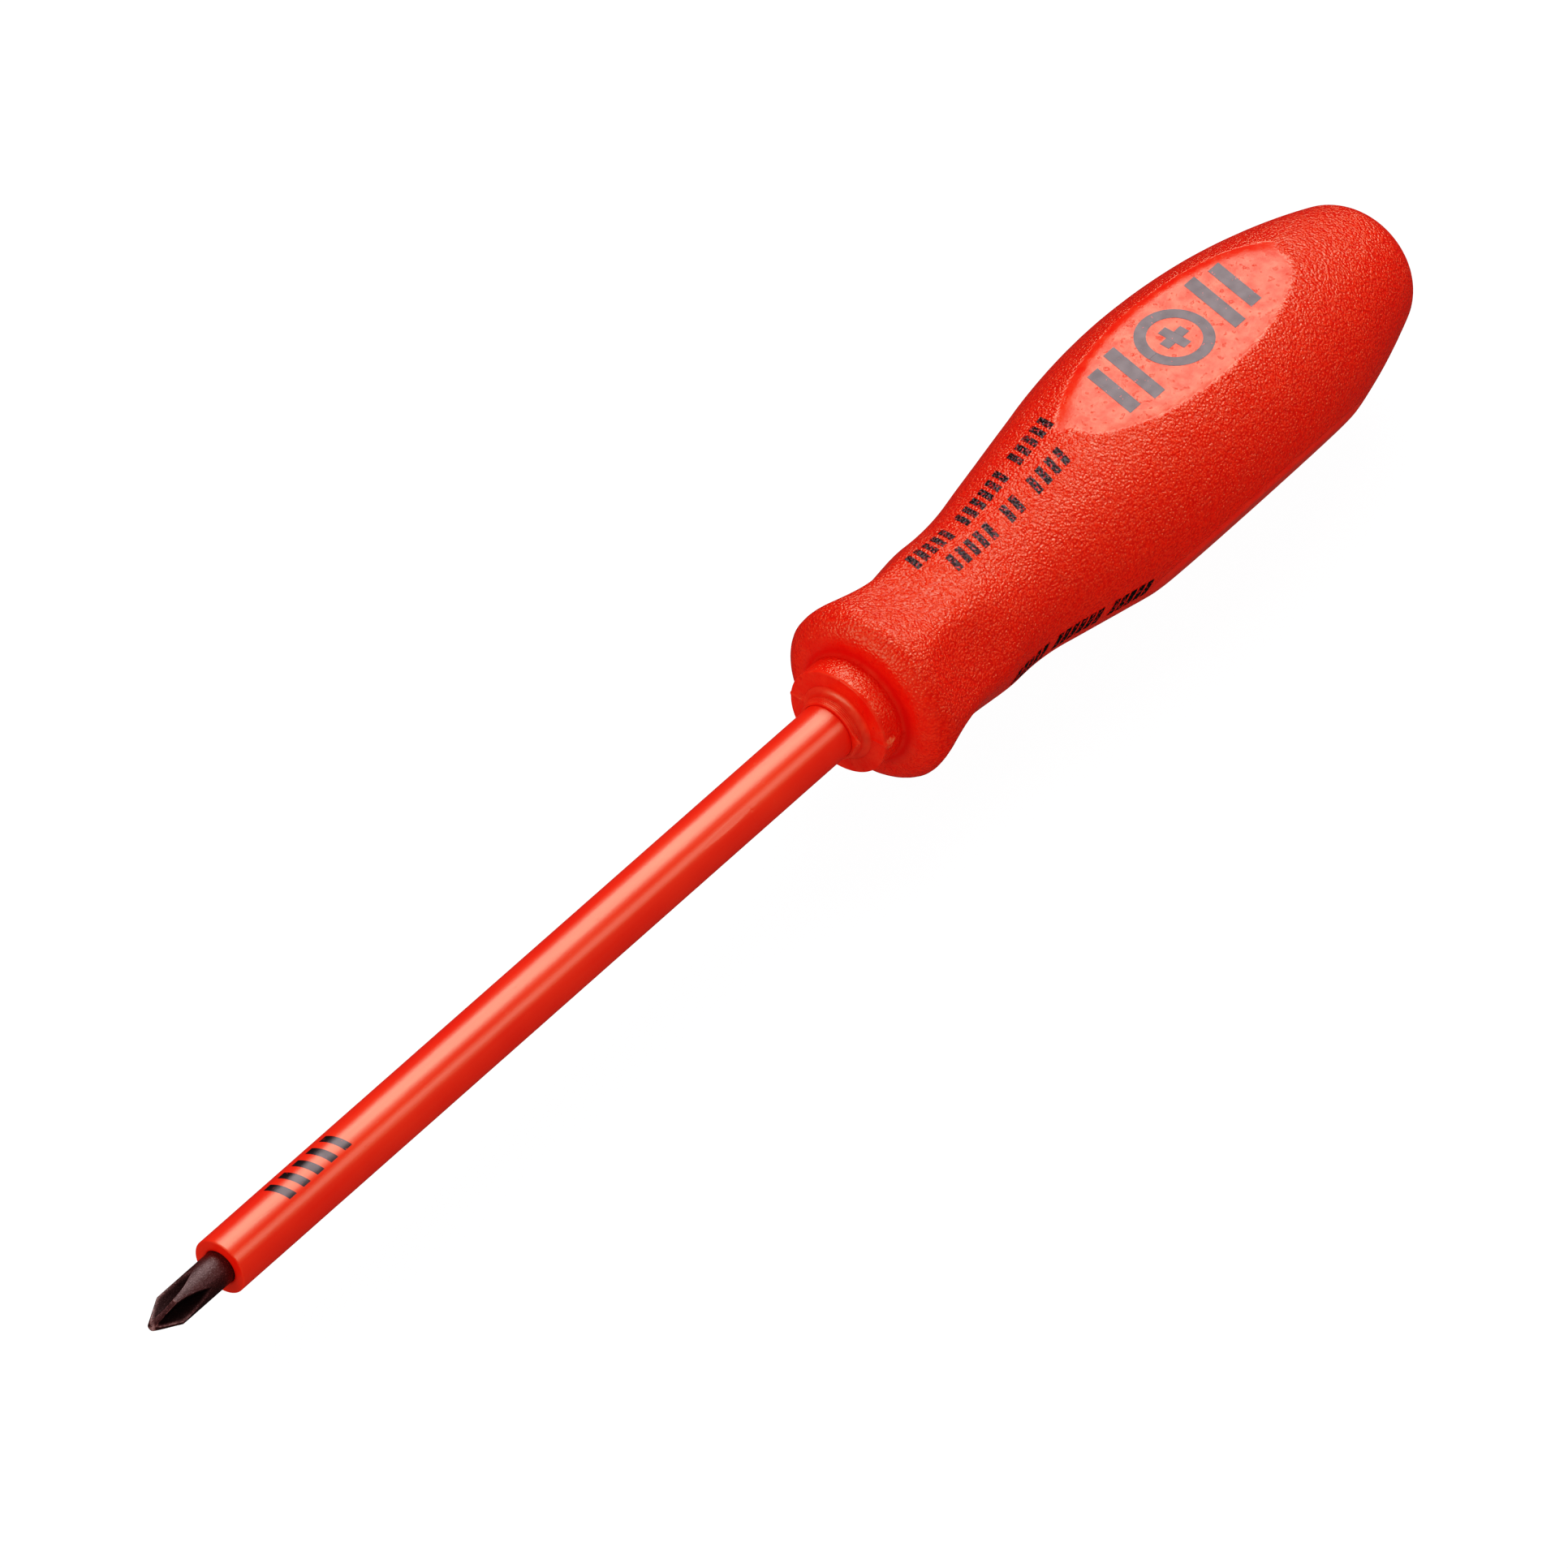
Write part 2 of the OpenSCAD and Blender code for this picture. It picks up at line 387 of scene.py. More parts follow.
def grip_radius(r, x, turn):
    """Radius of the grip's surface where its plain outline has radius r."""
    dished = dished_radius(r, x, turn)
    flattened = smooth_min(dished, panel_limit(turn), panel_blend)
    on_panel = smooth_step(-0.2, 0.0, dished - panel_limit(turn))
    behind_collar = smooth_step(-2.2, -2.8, x)
    waves = moulded_waves(r, x, turn) * (1 - 0.85 * on_panel)
    return flattened - (waves + skin) * behind_collar


def grip_grain(r, x, turn):
    """How strongly the surface is grained, from 0 on the smooth places to 1."""
    narrow_border, wider_by = 0.16, 0.3
    side_strength, face_strength = 0.6, 0.5
    above_panel = dished_radius(r, x, turn) - panel_limit(turn)
    left_of_panel = smooth_step(0.0, -0.2, turn_to_nearest(turn, panel_count))
    border = narrow_border + wider_by * left_of_panel
    on_panel = smooth_step(-border, 0.1 - border, above_panel)
    collar_side = side_strength * smooth_step(-0.12, -0.3, x) * smooth_step(-2.0, -1.8, x)
    past_collar = smooth_step(collar_r + 0.5, collar_r + 1.5, r)
    front_face = face_strength * past_collar * smooth_step(-2.2, -2.3, x)
    behind_face = smooth_step(-2.3, -4.4, x)
    return (1 - on_panel) * np.clip(collar_side + front_face + behind_face, 0, 1)


def collar_hollow(r, x):
    """The rounded corner between the collar and the guard, from 0 away from it to 1, where painted
    shade darkens the colour.
    """
    return hump(r, collar_r + collar_fillet * 0.6, 0.4) * hump(x, -collar_len, 0.5)


def collar_marks(points, turn):
    """Moulding marks on the collar: a raised parting line on each side, and a ragged flash.

    Gives how far they stand out and forward, and where the flash is.
    """
    ridge_half_w, ridge_proud, ridge_forward = math.radians(1.7), 0.1, 0.07
    flash_x, flash_half_len, flash_proud = -0.6, 0.65, 0.11
    flash_turn, flash_half_w = math.radians(87), math.radians(7)
    x = points[..., 0]
    r = np.hypot(points[..., 1], points[..., 2])
    on_collar = smooth_step(-2.2, -1.6, x)
    on_side = smooth_step(0.0, -0.1, x)
    on_face = smooth_step(-0.1, 0.0, x) * smooth_step(nose_root_r - 0.05, nose_root_r + 0.25, r)
    ridge = sum(hump(turn_between(turn, side * parting_turn), 0, ridge_half_w) for side in (-1, 1))
    near = hump(turn_between(turn, flash_turn), 0, flash_half_w) * hump(x, flash_x, flash_half_len)
    ragged = 1 + 0.45 * noise_at(points, pitch=0.3, seed=11.0)
    flash = smooth_step(0.4, 0.6, near * ragged) * on_side
    outward = on_collar * (ridge_proud * ridge * on_side + flash_proud * flash)
    forward = on_collar * ridge_forward * ridge * on_face
    return outward, forward, flash


def cavity_outline():
    """Outline of the grip's inside, which the core fills, from its blind end to its mouth."""
    return core_back_outline()[::-1] + np.array([gap, 0])


def build_grip():
    """The outer moulding: its outside, and the cavity that the core fills."""
    turns = even_turns(grip_columns)
    inner = around(cavity_outline(), turns, ribbed)
    outer = around(grip_outline(), turns, grip_radius)
    r, x, turn = outline_grid(grip_outline(), turns)
    outward, forward, flash = collar_marks(outer, turn)
    outer += wrapped(outward, forward, turn)
    seen = {"grain": grip_grain(r, x, turn), "hollow": collar_hollow(r, x), "flash": flash}
    unseen = np.zeros(inner.shape[:2])
    marks = {name: np.concatenate([unseen, values]) for name, values in seen.items()}
    return ring_piece("grip", np.concatenate([inner, outer]), 40, marks=marks)


# ---- core -------------------------------------------------------------------------------

def core_back_outline():
    """Outline of the core from the collar's face back to its rounded blind end."""
    end = (core_r - core_end_round, core_end_x + core_end_round)
    return chain(
        [(nose_root_r, 0), (nose_root_r, core_shoulder_x)],
        [(core_r, core_shoulder_x - (core_r - nose_root_r))],
        [(core_r, rib_front_x + 2 * crisp), (core_r, rib_front_x - 2 * crisp)],
        [(core_r, (rib_front_x + rib_back_x) / 2)],
        [(core_r, rib_back_x + 2 * crisp), (core_r, rib_back_x - 2 * crisp)],
        arc(end, core_end_round, 0, -math.pi / 2, 0.3),
        [(0.3, core_end_x)],
    )


def ribbed(r, x, turn):
    """Radius of the core's barrel, with its ribs."""
    lean = np.abs(turn_to_nearest(turn, rib_count))
    rib = np.minimum(rib_r / np.cos(lean), rib_w / 2 / np.maximum(np.sin(lean), 1e-6))
    among_ribs = (x < rib_front_x) & (x > rib_back_x)
    return np.where(among_ribs, np.maximum(r, rib), r)


def tang_radius(r, x, turn):
    """Radius of the blade inside the handle, where a stretch is pressed out into two wings."""
    wide = tang_wing_r / np.maximum(np.abs(np.sin(turn)), 1e-6)
    thick = tang_wing_t / 2 / np.maximum(np.abs(np.cos(turn)), 1e-6)
    pressed = (x < tang_wing_front) & (x > tang_wing_back)
    return np.where(pressed, np.minimum(wide, thick), r)


def nose_outline():
    """Outline of the core's nose, from the collar's face to the lip round the sleeve."""
    root = (nose_root_r, nose_fillet)
    cone = arc(root, nose_fillet, 3 * math.pi / 2, math.pi - nose_lean, 0.05)
    lip_round = 0.04
    return chain(
        cone,
        line(cone[-1], (nose_lip_r, nose_len - lip_round), 0.025),
        [(nose_lip_r - lip_round, nose_len)],
        line((nose_lip_r - lip_round, nose_len), (sleeve_r + 2 * gap, nose_len), 0.1),
        [(sleeve_r + gap, sleeve_step_x - gap), (sleeve_root_r + gap, sleeve_step_x - 2 * gap)],
    )


def nose_marks(r, x, turn):
    """The nose's fine turned rings and the ragged flash on one side of its lip."""
    ring_pitch, ring_proud = 0.13, 0.02
    flash_turn, flash_half_w, flash_proud = math.radians(80), math.radians(11), 0.4
    outside = (r > sleeve_r + 0.1) * 1.0
    on_cone = smooth_step(0.35, 0.55, x) * smooth_step(nose_len + 0.01, nose_len - 0.08, x)
    on_lip = smooth_step(nose_len - 0.4, nose_len - 0.1, x)
    rings = ring_proud * np.cos(FULL_TURN * x / ring_pitch) * on_cone
    ragged = 1 + 0.6 * noise_at(wrapped(r, x, turn), pitch=0.25, seed=5.0)
    flash = flash_proud * hump(turn_between(turn, flash_turn), 0, flash_half_w) * ragged * on_lip
    return r + (rings + flash) * outside


def build_core():
    """The inner moulding: its barrel, its coned nose, and the bore that holds sleeve and tang."""
    turns = even_turns(grip_columns)
    bore_r = blade_r + gap
    bore = chain(
        [(sleeve_root_r + gap, sleeve_back_x + gap)],
        [(bore_r, sleeve_back_x - crisp)],
        [(bore_r, tang_wing_front + crisp), (bore_r, tang_wing_front - crisp)],
        [(bore_r, tang_wing_back + crisp), (bore_r, tang_wing_back - crisp)],
        [(bore_r, tang_end_x - gap), (axis_hole_r, tang_end_x - gap)],
    )
    rings = np.concatenate([
        around(core_back_outline()[::-1], turns, ribbed),
        around(nose_outline()[1:], turns, nose_marks),
        around(bore, turns, tang_radius),
    ])
    return ring_piece("core", rings, 35)


# ---- sleeve -----------------------------------------------------------------------------

def sleeve_radius(r, x, turn):
    """The sleeve's surface: slightly uneven, with one shallow scrape along its side."""
    outside = (r > sleeve_r - 0.02) * smooth_step(nose_len, nose_len + 0.5, x)
    uneven_depth, torn_depth, scrape_blend, stretch = 0.006, 0.03, 0.004, 5
    drawn = noise_at(wrapped(np.ones_like(r), x / stretch, turn), pitch=0.8, seed=3.0)
    uneven = uneven_depth * np.abs(drawn) * outside
    ends = np.clip(1 - ((x - scrape_x) / scrape_half_len) ** 2, 0, 1)
    lean = np.clip(turn_between(turn, scrape_turn), -1.2, 1.2)
    flat = np.where(ends > 0, (sleeve_r - scrape_depth * ends) / np.cos(lean), OUT_OF_REACH)
    chatter = hump(x, chatter_x, 0.55)
    chatter = chatter * hump(turn_between(turn, chatter_turn), 0, math.radians(9))
    bites = np.abs(noise_at(np.stack([x * 2, r * turn, r], axis=-1), pitch=0.3, seed=8.0))
    scraped = smooth_min(r - uneven - torn_depth * chatter * bites, flat, scrape_blend)
    return np.where(outside > 0, scraped, r)


def build_sleeve():
    """The insulating tube, thinner inside the handle, with a bevelled cut end."""
    end = sleeve_end_x
    outline = chain(
        [(sleeve_root_r, sleeve_back_x), (sleeve_root_r, sleeve_step_x)],
        [(sleeve_r - gap, sleeve_step_x + gap)],
        line((sleeve_r, nose_len), (sleeve_r, chatter_x - 1), 0.36),
        line((sleeve_r, chatter_x - 1), (sleeve_r, chatter_x + 1), 0.07),
        line((sleeve_r, chatter_x + 1), (sleeve_r, end - sleeve_bevel - 0.02), 0.36),
        arc((sleeve_r - sleeve_bevel, end - sleeve_bevel), sleeve_bevel, 0, math.pi / 2, 0.03, 4),
        line((sleeve_r - sleeve_bevel, end), (blade_r + mouth_bevel, end), 0.15),
        [(blade_r + mouth_bevel / 3, end - mouth_bevel / 3), (blade_r, end - mouth_bevel)],
        [(blade_r, sleeve_back_x)],
    )
    rings = around(outline, even_turns(240), sleeve_radius)
    return ring_piece("sleeve", rings, 35, closed_ends=False)


# ---- blade ------------------------------------------------------------------------------

def flute_limit(x, turn):
    """Radius at which a ray from the axis meets the nearest flute of the point."""
    lean = turn_to_nearest(turn - first_wing - FULL_TURN / 8, 4)
    centre = flute_root_r + flute_disc_r

    def is_cut(r):
        away = np.hypot(centre - r * np.cos(lean), x - flute_x)
        return away < flute_disc_r - np.abs(r * np.sin(lean)) / math.tan(flute_half_angle)

    near = np.zeros_like(x)
    far = np.full_like(x, blade_r)
    halvings = 20
    for _ in range(halvings):
        middle = (near + far) / 2
        cut = is_cut(middle)
        far = np.where(cut, middle, far)
        near = np.where(cut, near, middle)
    return np.where(is_cut(np.full_like(x, blade_r)), far, OUT_OF_REACH)


def blade_radius(r, x, turn):
    """Radius of the blade, with the flutes of its point and the wings of its tang."""
    fluted = smooth_min(r, flute_limit(x, turn), 0.035)
    in_front = x > sleeve_end_x
    return np.where(in_front, fluted, tang_radius(r, x, turn))


def blade_wear_and_glint(r, x, turn):
    """How near the surface is to an edge that wear and a painted highlight have brightened."""
    edge_w, shoulder_w, end_len = 0.06, 0.05, 0.25
    limit = flute_limit(x, turn)
    edge = np.exp(-np.abs(limit - r) / edge_w) * (limit < OUT_OF_REACH / 2)
    edge = edge * smooth_step(tip_x - 3.6, tip_x - 2.4, x)
    shoulder = hump(x, tip_x - point_len, shoulder_w) * (limit > r - shoulder_w)
    end = smooth_step(tip_x - end_len, tip_x, x)
    return np.clip(edge + 0.6 * shoulder + 0.8 * end, 0, 1)


def flute_shade(r, x, turn):
    """How deep the surface lies in a flute, where painted shade darkens the finish."""
    return smooth_step(0.03, 0.3, r - flute_limit(x, turn))


def build_blade():
    """The steel bar, from its winged tang to its fluted point."""
    turns = even_turns(360)
    shoulder_x = tip_x - point_len
    end_bevel = 0.4
    outline = chain(
        [(axis_hole_r, tang_end_x), (blade_r - end_bevel, tang_end_x)],
        [(blade_r, tang_end_x + end_bevel)],
        [(blade_r, tang_wing_back - crisp), (blade_r, tang_wing_back + crisp)],
        [(blade_r, tang_wing_front - crisp), (blade_r, tang_wing_front + crisp)],
        [(blade_r, nose_len), (blade_r, sleeve_end_x - 0.5)],
        line((blade_r, sleeve_end_x - 0.4), (blade_r, shoulder_x - 0.02), 0.06),
        line((blade_r - 0.01, shoulder_x + 0.02), (point_flat_r + 0.02, tip_x - 0.03), 0.05),
        [(point_flat_r - 0.02, tip_x), (point_flat_r / 2, tip_x)],
    )
    r, x, turn = outline_grid(outline, turns)
    marks = {"wear_and_glint": blade_wear_and_glint(r, x, turn), "flute": flute_shade(r, x, turn)}
    return ring_piece("blade_bar", around(outline, turns, blade_radius), 25, marks=marks)


# ---- printed marks ----------------------------------------------------------------------

# The ink's top stands proud of the surface, and its underside is sunk below it.
ink_proud = 0.014
ink_sunk = 0.03

row_bar_w = 0.56
row_lean = math.radians(14)

# Where the bars of each kind of row stand, with a 1 for each bar and a 0 for a gap.
long_row = (1, 1, 1, 1, 1, 0, 1, 1, 1, 1, 1, 1, 0, 1, 1, 1, 1, 1)
short_row = (1, 1, 1, 1, 1, 0, 1, 1, 0, 1, 1, 1, 1)

# Name, front and back ends, turn in degrees, height and bars of each row on the grip.
grip_rows = (
    ("print_row_left", -10.9, -27.6, -20, 1.65, long_row),
    ("print_row_top", -12.4, -25.6, 3, 1.6, short_row),
    ("print_row_right", -12.6, -26.6, 106.5, 1.6, long_row),
)


def bar_grid(length, width, lean, fine):
    """Grid of (along, across) points of one bar that stands across the handle and may lean."""
    across = np.linspace(-length / 2, length / 2, max(2, round(length / fine)) + 1)
    along = np.linspace(-width / 2, width / 2, max(2, round(width / fine)) + 1)
    v, u = np.meshgrid(across, along, indexing="ij")
    return u + v * math.tan(lean), v


def slabs_piece(name, patches, surface):
    """One piece of thin closed slabs that lie on a surface, a slab for each patch."""
    points, faces, start = [], [], 0
    for u, v in patches:
        for lift in (ink_proud, -ink_sunk):
            points.append(surface(u, v, lift).reshape(-1, 3))
        faces += slab_faces(*u.shape, start)
        start += 2 * u.size
    return make_piece(name, np.concatenate(points), faces, 40)


def row_on_grip(name, front_x, back_x, centre_turn, tall, pattern):
    """A row of leaning bars along the handle."""
    pitch = (front_x - back_x) / len(pattern)
    outline = grip_outline()
    behind_guard = outline[outline[:, 1] < guard_x]
    patches = []
    for i, drawn in enumerate(pattern):
        if drawn:
            u, v = bar_grid(tall, row_bar_w, row_lean, 0.15)
            patches.append((front_x - (i + 0.5) * pitch + u, v))

    def surface(x, across, lift):
        r = np.interp(-x, -behind_guard[:, 1], behind_guard[:, 0])
        turn = centre_turn + across / r
        return wrapped(grip_radius(r, x, turn) + lift, x, turn)

    return slabs_piece(name, patches, surface)


def row_on_sleeve():
    """A short row of bars across the sleeve, near its cut end."""
    bar_count, bar_len, bar_w, pitch = 5, 2.1, 0.75, 1.5
    lean, centre_turn = math.radians(-12), math.radians(-3)
    front_x = sleeve_end_x - 6.7
    base_r = sleeve_r - 0.012
    patches = []
    for i in range(bar_count):
        u, v = bar_grid(bar_len, bar_w, lean, 0.12)
        patches.append((front_x - pitch * i + u, v))

    def surface(x, across, lift):
        return wrapped(base_r + lift, x, centre_turn + across / sleeve_r)

    return slabs_piece("print_sleeve_row", patches, surface)


def panel_mark():
    """A ring round a cross, between plain leaning bars, in the middle of the top panel."""
    centre_x, centre_y = body_x, -0.45
    stroke, ring_r, arm = 1.2, 2.95, 1.2
    ring_w, cross_w = 0.75 * stroke, 0.7 * stroke
    lean, fine, hairline = math.radians(12), 0.4, 0.01
    bars_away_and_tall = ((1.75, 5.6), (4.1, 4.7))
    turns = np.linspace(hairline / ring_r, FULL_TURN - hairline / ring_r, 49)
    t, r = np.meshgrid(turns, np.array([ring_r - ring_w, ring_r]), indexing="ij")
    patches = [(r * np.cos(t), r * np.sin(t)), bar_grid(2 * arm, cross_w, 0, fine)]
    for side in (-1, 1):
        u, v = bar_grid(cross_w, arm - cross_w / 2 - hairline, 0, fine)
        patches.append((u + side * (arm + cross_w / 2 + hairline) / 2, v))
        for away, tall in bars_away_and_tall:
            u, v = bar_grid(tall, stroke, lean, fine)
            patches.append((u + side * (ring_r + away), v))

    def surface(u, v, lift):
        z = np.full_like(u, panel_r - skin + lift)
        return np.stack([centre_x + u, centre_y + v, z], axis=-1)

    return slabs_piece("print_panel_mark", patches, surface)


# ---- materials --------------------------------------------------------------------------

def srgb(red, green, blue):
    """Linear colour from display values of 0 to 255."""

    def linear(v):
        v /= 255
        return v / 12.92 if v <= 0.04045 else ((v + 0.055) / 1.055) ** 2.4

    return (linear(red), linear(green), linear(blue), 1)


class Shader:
    """A node material, with short calls that add and join its nodes."""

    def __init__(self, name):
        self.material = bpy.data.materials.new(name)
        self.material.use_nodes = True
        self.tree = self.material.node_tree
        self.surface = self.tree.nodes["Principled BSDF"]
        self.place = self.add("TexCoord").outputs["Object"]

    def add(self, kind, inputs=None, **settings):
        """A new node. Inputs are values or sockets by name, and settings are its properties."""
        node = self.tree.nodes.new("ShaderNode" + kind)
        for key, value in settings.items():
            setattr(node, key, value)
        for key, value in (inputs or {}).items():
            self.feed(node.inputs[key], value)
        return node

    def feed(self, socket, value):
        if isinstance(value, bpy.types.NodeSocket):
            self.tree.links.new(value, socket)
        else:
            socket.default_value = value

    def finish(self, gloss=None, **inputs):
        """The finished material, with the inputs of its surface set or joined."""
        inputs = {key.replace("_", " "): value for key, value in inputs.items()}
        for key, value in {**(gloss or {}), **inputs}.items():
            self.feed(self.surface.inputs[key], value)
        return self.material

    def noise(self, pitch_mm, detail=2.0, roughness=0.5, place=None):
        """Noise from 0 to 1 with features about pitch_mm apart."""
        inputs = {"Vector": place or self.place, "Scale": 1 / (pitch_mm * MM)}
        inputs.update({"Detail": detail, "Roughness": roughness})
        return self.add("TexNoise", inputs).outputs["Fac"]

    def cells(self, pitch_mm, smoothness, place=None):
        """Distance from the middle of the nearest of many small cells."""
        inputs = {"Vector": place or self.place, "Scale": 1 / (pitch_mm * MM)}
        inputs["Smoothness"] = smoothness
        return self.add("TexVoronoi", inputs, feature="SMOOTH_F1").outputs["Distance"]

    def mark(self, name):
        """A value that the mesh carries at its points."""
        return self.add("Attribute", attribute_name=name).outputs["Fac"]

    def math(self, operation, a, b=0.0, clamp=False):
        node = self.add("Math", operation=operation, use_clamp=clamp)
        self.feed(node.inputs[0], a)
        self.feed(node.inputs[1], b)
        return node.outputs[0]

    def scaled(self, value, low_in, high_in, low_out=0.0, high_out=1.0):
        """The value moved from one range to another, and kept inside the second."""
        inputs = {"Value": value, "From Min": low_in, "From Max": high_in}
        inputs.update({"To Min": low_out, "To Max": high_out})
        return self.add("MapRange", inputs).outputs["Result"]

    def mix(self, factor, a, b):
        node = self.add("Mix", data_type="RGBA")
        self.feed(node.inputs["Factor"], factor)
        self.feed(node.inputs[6], a)
        self.feed(node.inputs[7], b)
        return node.outputs[2]

    def bump(self, height, depth_mm, strength=1.0, normal=None):
        """A normal tilted by a height of 0 to 1 that stands for depth_mm."""
        inputs = {"Height": height, "Distance": depth_mm * MM, "Strength": strength}
        if normal is not None:
            inputs["Normal"] = normal
        return self.add("Bump", inputs).outputs["Normal"]


# The reds run from the valleys of the grain, darkened as painted shade, to its crests, lightened as
# painted highlight. Each gloss is a surface's reflection.
red_deep = srgb(226, 18, 6)
red_body = srgb(239, 29, 10)
red_light = srgb(250, 44, 18)
red_stressed = srgb(240, 105, 75)
ink = srgb(22, 8, 8)
plastic_gloss = {"IOR": 1.75, "Specular Tint": (1.0, 0.95, 0.62, 1.0)}
ink_gloss = {"IOR": 1.7, "Specular Tint": (1.0, 0.78, 0.82, 1.0)}
blade_gloss = {"IOR": 1.75, "Specular Tint": (1.0, 0.68, 0.68, 1.0)}

# Depth of the moulded grain, which the ink on it shares.
grain_depth = 0.12


def grain_height(s):
    """The moulded grain: fine irregular pebbles about a fifth of a millimetre apart."""
    pebble_pitch, uneven_pitch = 0.21, 0.23
    warp_pitch, warp_reach = 0.5, 0.12
    warp = s.add("TexNoise", {"Vector": s.place, "Scale": 1 / (warp_pitch * MM), "Detail": 1.0})
    shift = s.add("VectorMath", operation="SCALE")
    s.feed(shift.inputs[0], warp.outputs["Color"])
    s.feed(shift.inputs["Scale"], warp_reach * MM)
    bent = s.add("VectorMath", operation="ADD")
    s.feed(bent.inputs[0], s.place)
    s.feed(bent.inputs[1], shift.outputs[0])
    pebbles = s.cells(pebble_pitch, 0.35, bent.outputs[0])
    domed = s.scaled(pebbles, 0.15, 0.75, 1.0, 0.0)
    uneven = s.noise(uneven_pitch, 3.0, 0.6)
    return s.math("ADD", s.math("MULTIPLY", domed, 0.6), s.math("MULTIPLY", uneven, 0.8))


def grip_material():
    """Moulded red plastic: grained nearly all over, and smooth but pitted on the panels. Painted
    shade darkens the grain's valleys, the pits and the corner behind the collar, and painted
    highlight lightens the grain's crests.
    """
    s = Shader("grip_plastic")
    grain = s.mark("grain")
    hollow = s.mark("hollow")
    height = grain_height(s)
    pits = s.scaled(s.noise(0.5, 3.0, 0.6), 0.6, 0.68)
    mottle = s.noise(1.0, 4.0, 0.62)

    smooth_height = s.math("SUBTRACT", mottle, s.math("MULTIPLY", pits, 0.45))
    smooth_normal = s.bump(smooth_height, 0.045)
    normal = s.bump(s.math("MULTIPLY", height, grain), grain_depth, normal=smooth_normal)

    # Painted shade and highlight: the grain's valleys are coloured deeper red and its crests lighter.
    grain_shade_and_highlight = s.mix(s.scaled(height, 0.35, 0.85), red_deep, red_light)
    smooth_tint = s.mix(s.scaled(mottle, 0.35, 0.65), red_body, red_light)
    # Painted shade: the pits are coloured deeper red as well as dented.
    smooth_tint = s.mix(s.math("MULTIPLY", pits, 0.7), smooth_tint, red_deep)
    colour = s.mix(grain, smooth_tint, grain_shade_and_highlight)
    colour = s.mix(s.scaled(s.noise(9.0, 3.0), 0.3, 0.7, 0.0, 0.25), colour, red_deep)
    # Painted shade: the corner between the collar and the guard is coloured deep red.
    colour = s.mix(hollow, colour, red_deep)
    uneven_flash = s.scaled(s.noise(0.3, 2.0), 0.35, 0.6, 0.1, 0.8)
    stressed = s.math("MULTIPLY", s.mark("flash"), uneven_flash, True)
    colour = s.mix(stressed, colour, red_stressed)

    rough = s.scaled(s.noise(0.9, 2.0), 0.3, 0.7, 0.28, 0.36)
    rough = s.math("SUBTRACT", rough, s.math("MULTIPLY", grain, 0.13))
    rough = s.math("ADD", rough, s.math("MULTIPLY", hollow, 0.3))

    glossy_places = s.math("SUBTRACT", mottle, s.math("MULTIPLY", pits, 0.2))
    patchy_shine = s.scaled(glossy_places, 0.35, 0.65, 0.22, 0.46)
    shine = s.math("ADD", patchy_shine, s.math("MULTIPLY", grain, 0.2), True)
    shine = s.math("MULTIPLY", shine, s.scaled(hollow, 0.0, 1.0, 1.0, 0.15))
    gloss = {**plastic_gloss, "Specular IOR Level": shine}
    return s.finish(gloss, Base_Color=colour, Roughness=rough, Normal=normal)


def core_material():
    """The inner moulding's red plastic, smooth and hardly uneven."""
    s = Shader("core_plastic")
    colour = s.mix(s.scaled(s.noise(0.8, 3.0), 0.3, 0.7), red_body, red_light)
    rough = s.scaled(s.noise(0.4, 2.0), 0.3, 0.7, 0.3, 0.42)
    normal = s.bump(s.noise(0.25), 0.01, 0.5)
    return s.finish(plastic_gloss, Base_Color=colour, Roughness=rough, Normal=normal)


def sleeve_material():
    """Smooth red tube plastic, with faint lines drawn along it and a few specks."""
    s = Shader("sleeve_plastic")
    stretched = s.add("Mapping", {"Vector": s.place, "Scale": (0.02, 1, 1)}).outputs[0]
    drawn = s.noise(0.25, 3.0, 0.6, stretched)
    specks = s.scaled(s.noise(0.35, 2.0, 0.7), 0.7, 0.76)
    height = s.math("SUBTRACT", s.math("MULTIPLY", drawn, 0.6), specks)
    colour = s.mix(s.scaled(s.noise(6.0, 3.0), 0.35, 0.65, 0.0, 0.5), red_body, red_light)
    rough = s.math("ADD", s.scaled(drawn, 0.3, 0.7, 0.28, 0.34), s.math("MULTIPLY", specks, 0.2))
    normal = s.bump(height, 0.005, 0.7)
    return s.finish(plastic_gloss, Base_Color=colour, Roughness=rough, Normal=normal)


